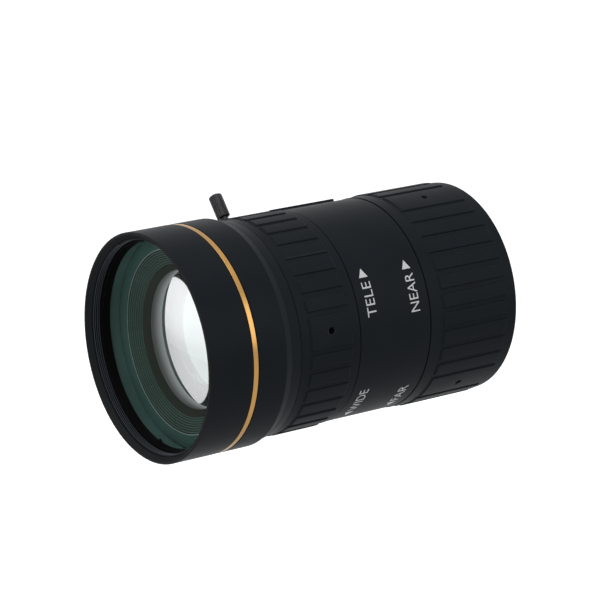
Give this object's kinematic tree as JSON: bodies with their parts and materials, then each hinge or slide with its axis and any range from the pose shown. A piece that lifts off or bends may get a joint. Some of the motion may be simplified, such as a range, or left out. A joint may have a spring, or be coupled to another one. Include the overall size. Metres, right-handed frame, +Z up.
{
  "type": "varifocal camera lens",
  "caption": "Varifocal lens with a screw camera mount, ribbed zoom and focus rings, lock screws, a gold ring round a wide front barrel and a filter thread.",
  "frame": {"origin": "centre of the mount's flange, the plane that seats on a camera", "axes": "the optical axis is Y, the glass faces -Y and the camera lies on the +Y side; +Z is up, with the lettered side towards +X"},
  "size_m": [0.0918, 0.1429, 0.0828],
  "materials": {
    "satin_black_anodised": "satin black anodised aluminium",
    "grip_black_anodised": "satin black anodised aluminium with milled grip pads",
    "gold_anodised": "gold anodised aluminium",
    "trap_black": "matt black, against stray light",
    "inner_black": "matt black anodised",
    "coated_glass": "polished and coated",
    "steel": "bright turned",
    "screw_black": "black oxide, straight knurled head",
    "mount_metal": "turned brass, bright nickel plated",
    "rubber": "matt"
  },
  "bodies": {
    "body": {"front_bezel": "satin_black_anodised", "accent_ring": "gold_anodised", "front_barrel": "satin_black_anodised", "front_retaining_ring": "trap_black", "front_element": "coated_glass", "light_trap_spacer": "trap_black", "second_element": "coated_glass", "index_barrel": "satin_black_anodised", "main_tube": "inner_black", "iris_cover": "satin_black_anodised", "lead_grommet": "rubber", "rear_cover": "satin_black_anodised", "camera_mount_ring": "mount_metal", "rear_element": "coated_glass", "rear_retainer": "trap_black", "iris_base": "inner_black", "iris_front_plate": "inner_black", "iris_drive": "steel"},
    "zoom_ring": {"zoom_ring": "grip_black_anodised"},
    "zoom_group": {"zoom_cell": "inner_black", "zoom_front_element": "coated_glass", "zoom_front_retainer": "trap_black", "zoom_rear_element": "coated_glass", "zoom_rear_retainer": "trap_black", "zoom_pin_a": "steel", "zoom_pin_b": "steel", "zoom_pin_c": "steel"},
    "focus_ring": {"focus_ring": "grip_black_anodised"},
    "focus_group": {"focus_cell": "inner_black", "focus_front_element": "coated_glass", "focus_front_retainer": "trap_black", "focus_rear_element": "coated_glass", "focus_rear_retainer": "trap_black", "focus_pin_a": "steel", "focus_pin_b": "steel", "focus_pin_c": "steel"},
    "iris_lever": {"iris_lever": "steel"},
    "iris_front_blade": {"iris_front_blade": "trap_black"},
    "iris_rear_blade": {"iris_rear_blade": "trap_black"},
    "zoom_lock_screw": {"zoom_lock_screw": "screw_black"},
    "focus_lock_screw": {"focus_lock_screw": "screw_black"}
  },
  "joints": [
    {"name": "zoom_turn", "type": "hinge", "parent": "body", "child": "zoom_ring", "pos_m": [0, -0.08705, 0], "axis": [0, -1, 0], "range_deg": [-35, 35]},
    {"name": "zoom_slide", "type": "slide", "parent": "body", "child": "zoom_group", "axis": [0, -1, 0], "range_m": [-0.006, 0.006]},
    {"name": "focus_turn", "type": "hinge", "parent": "body", "child": "focus_ring", "pos_m": [0, -0.02345, 0], "axis": [0, -1, 0], "range_deg": [-40, 40]},
    {"name": "focus_slide", "type": "slide", "parent": "body", "child": "focus_group", "axis": [0, -1, 0], "range_m": [-0.004, 0.004]},
    {"name": "iris_turn", "type": "hinge", "parent": "body", "child": "iris_lever", "pos_m": [-0.01458, -0.0596, 0.01223], "axis": [0, -1, 0], "range_deg": [-40, 40]},
    {"name": "front_blade_slide", "type": "slide", "parent": "body", "child": "iris_front_blade", "axis": [-0.6428, 0, -0.766], "range_m": [-0.00451, 0.00451]},
    {"name": "rear_blade_slide", "type": "slide", "parent": "body", "child": "iris_rear_blade", "axis": [-0.6428, 0, -0.766], "range_m": [-0.00451, 0.00451]},
    {"name": "zoom_lock_turn", "type": "hinge", "parent": "zoom_ring", "child": "zoom_lock_screw", "pos_m": [-0.02567, -0.0868, 0.03016], "axis": [-0.6481, 0, 0.7615], "range_deg": [0, 180]},
    {"name": "focus_lock_turn", "type": "hinge", "parent": "focus_ring", "child": "focus_lock_screw", "pos_m": [-0.03757, -0.02293, -0.0125], "axis": [-0.9489, 0, -0.3156], "range_deg": [0, 180]}
  ],
  "couplings": [
    {"joint": "zoom_slide", "follows": "zoom_turn", "m_per_rad": 0.009822},
    {"joint": "focus_slide", "follows": "focus_turn", "m_per_rad": 0.005729},
    {"joint": "iris_turn", "follows": "front_blade_slide", "rad_per_m": 154.73},
    {"joint": "rear_blade_slide", "follows": "front_blade_slide", "ratio": -1}
  ]
}
